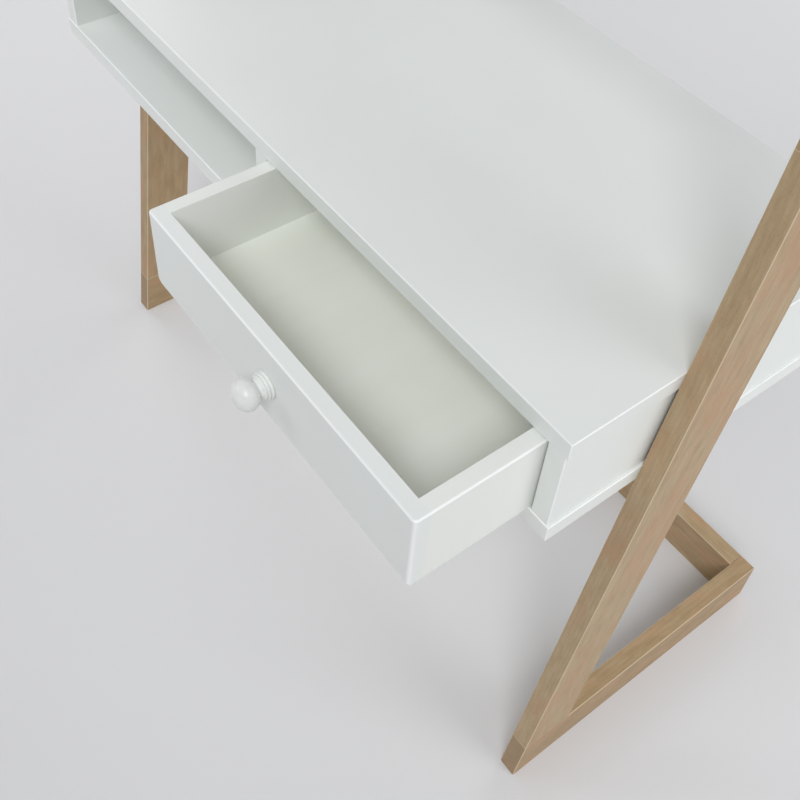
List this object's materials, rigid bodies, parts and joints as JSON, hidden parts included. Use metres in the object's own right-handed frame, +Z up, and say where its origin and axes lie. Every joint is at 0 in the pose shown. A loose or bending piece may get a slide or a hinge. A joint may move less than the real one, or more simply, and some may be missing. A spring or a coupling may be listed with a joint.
{
  "type": "writing desk",
  "caption": "Writing desk with a white painted case, a sliding drawer beside an open compartment, and leaning beech posts on floor runners.",
  "frame": {"origin": "on the floor, at the middle of the box that the desk takes with its drawer standing open as at rest", "axes": "+X across the desk to its right as its user sits at it, +Y from the user to the desk's back, +Z up"},
  "size_m": [1.03, 0.676, 1.1984],
  "materials": {
    "painted_board": "white satin paint",
    "painted_knob": "white satin paint on turned wood",
    "painted_drawer_floor": "white matt paint",
    "painted_back": "white matt paint",
    "beech": "clear matt lacquer",
    "beech_dowel": "bare",
    "zinc_steel": "zinc plated",
    "glide_nylon": "natural"
  },
  "bodies": {
    "desk_frame": {"top_panel": "painted_board", "bottom_panel": "painted_board", "left_side_panel": "painted_board", "right_side_panel": "painted_board", "divider_panel": "painted_board", "back_panel": "painted_back", "case_dowels": "beech_dowel", "back_screws": "zinc_steel", "drawer_glide_strips": "glide_nylon", "drawer_closing_stops": "beech", "drawer_pull_out_stop": "beech", "stop_screws": "zinc_steel", "left_runner": "beech", "right_runner": "beech", "left_post": "beech", "right_post": "beech", "left_upper_post": "beech", "right_upper_post": "beech", "rear_stretcher": "beech", "top_rail": "beech", "stretcher_dowels": "beech_dowel", "rail_dowels": "beech_dowel", "post_seam_dowels": "beech_dowel", "foot_screws": "zinc_steel", "post_bolts": "zinc_steel", "post_inserts": "zinc_steel", "post_spacers": "glide_nylon"},
    "drawer": {"drawer_front": "painted_board", "drawer_left_side": "painted_board", "drawer_right_side": "painted_board", "drawer_back": "painted_board", "drawer_bottom": "painted_drawer_floor", "drawer_dowels": "beech_dowel", "drawer_knob": "painted_knob", "knob_screw": "zinc_steel"}
  },
  "joints": [
    {"name": "drawer_slide", "type": "slide", "parent": "desk_frame", "child": "drawer", "axis": [0, -1, 0], "range_m": [-0.14, 0.16]}
  ]
}
